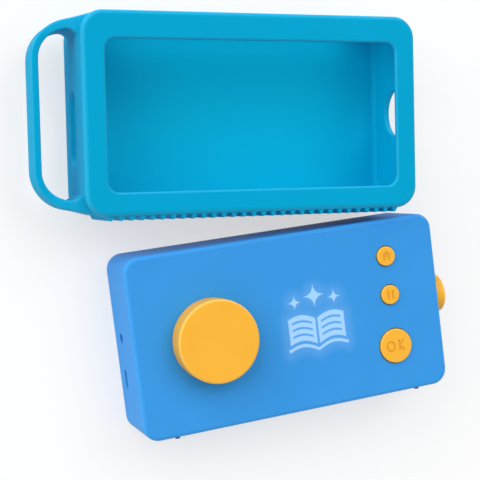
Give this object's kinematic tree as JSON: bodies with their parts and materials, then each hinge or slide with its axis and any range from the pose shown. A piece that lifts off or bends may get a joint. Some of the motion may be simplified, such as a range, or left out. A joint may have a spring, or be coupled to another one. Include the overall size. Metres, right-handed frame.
{
  "type": "audio story player",
  "caption": "Child's flat box-shaped audio story player with a large selector wheel, push buttons, a lit picture, a side volume knob and a taken-off silicone sleeve with a carry handle.",
  "frame": {"origin": "centre of the player's flat back face, which it lies on", "axes": "+X to the player's right, +Y up its face towards the loudspeaker side, +Z out of its face"},
  "size_m": [0.1971, 0.1963, 0.047],
  "materials": {
    "casing_blue": "fine satin moulded plastic",
    "control_yellow": "smooth satin moulded plastic",
    "sleeve_silicone": "soft matt silicone",
    "foot_rubber": "matt rubber",
    "zinc_screws": "bright zinc plate",
    "board_green": "solder mask",
    "chip_black": "moulded epoxy",
    "socket_black": "moulded nylon",
    "socket_steel": "tinned steel",
    "card_black": "moulded plastic",
    "steel_shaft": "turned steel",
    "frame_black": "moulded plastic",
    "panel_film": "printed film",
    "diffuser_white": "white film",
    "led_white": "clear resin",
    "ribbon_amber": "polyimide film",
    "foam_black": "closed-cell foam",
    "mesh_black": "woven cloth",
    "basket_steel": "pressed steel",
    "cone_paper": "pressed paper",
    "magnet_dark": "plated ferrite",
    "cell_foil": "laminated foil",
    "lead_black": "insulated lead"
  },
  "bodies": {
    "casing": {"front_shell": "casing_blue", "rear_cover": "casing_blue", "case_screws": "zinc_screws", "rubber_feet": "foot_rubber", "main_board": "board_green", "board_screws": "zinc_screws", "board_chips": "chip_black", "card_socket": "socket_steel", "memory_card": "card_black", "headphone_jack": "socket_black", "usb_socket": "socket_steel", "encoder_body": "socket_steel", "display_frame": "frame_black", "display_panel": "panel_film", "display_diffuser": "diffuser_white", "backlight_leds": "led_white", "display_ribbon": "ribbon_amber", "volume_pot": "socket_steel", "speaker_gasket": "foam_black", "speaker_mesh": "mesh_black", "speaker_basket": "basket_steel", "speaker_cone": "cone_paper", "speaker_magnet": "magnet_dark", "speaker_lead": "lead_black", "battery_cell": "cell_foil", "battery_foam": "foam_black", "battery_lead": "lead_black", "silicone_sleeve": "sleeve_silicone", "home_switch": "socket_black", "pause_switch": "socket_black", "ok_switch": "socket_black"},
    "wheel": {"selector_wheel": "control_yellow", "wheel_shaft": "steel_shaft"},
    "volume": {"volume_knob": "control_yellow", "volume_shaft": "steel_shaft"},
    "home": {"home_button": "control_yellow", "home_plunger": "card_black"},
    "pause": {"pause_button": "control_yellow", "pause_plunger": "card_black"},
    "ok": {"ok_button": "control_yellow", "ok_plunger": "card_black"}
  },
  "joints": [
    {"name": "wheel_turn", "type": "hinge", "parent": "casing", "child": "wheel", "pos_m": [-0.0405, -0.0002, 0.036], "axis": [0, 0, 1], "continuous": true},
    {"name": "volume_turn", "type": "hinge", "parent": "casing", "child": "volume", "pos_m": [0.078, 0.0005, 0.022], "axis": [1, 0, 0], "range_deg": [-140, 140]},
    {"name": "home_press", "type": "slide", "parent": "casing", "child": "home", "axis": [0, 0, -1], "range_m": [0, 0.0007], "stiffness_N_per_m": 900, "springref_m": -0.0004},
    {"name": "pause_press", "type": "slide", "parent": "casing", "child": "pause", "axis": [0, 0, -1], "range_m": [0, 0.0007], "stiffness_N_per_m": 900, "springref_m": -0.0004},
    {"name": "ok_press", "type": "slide", "parent": "casing", "child": "ok", "axis": [0, 0, -1], "range_m": [0, 0.0007], "stiffness_N_per_m": 900, "springref_m": -0.0004}
  ]
}
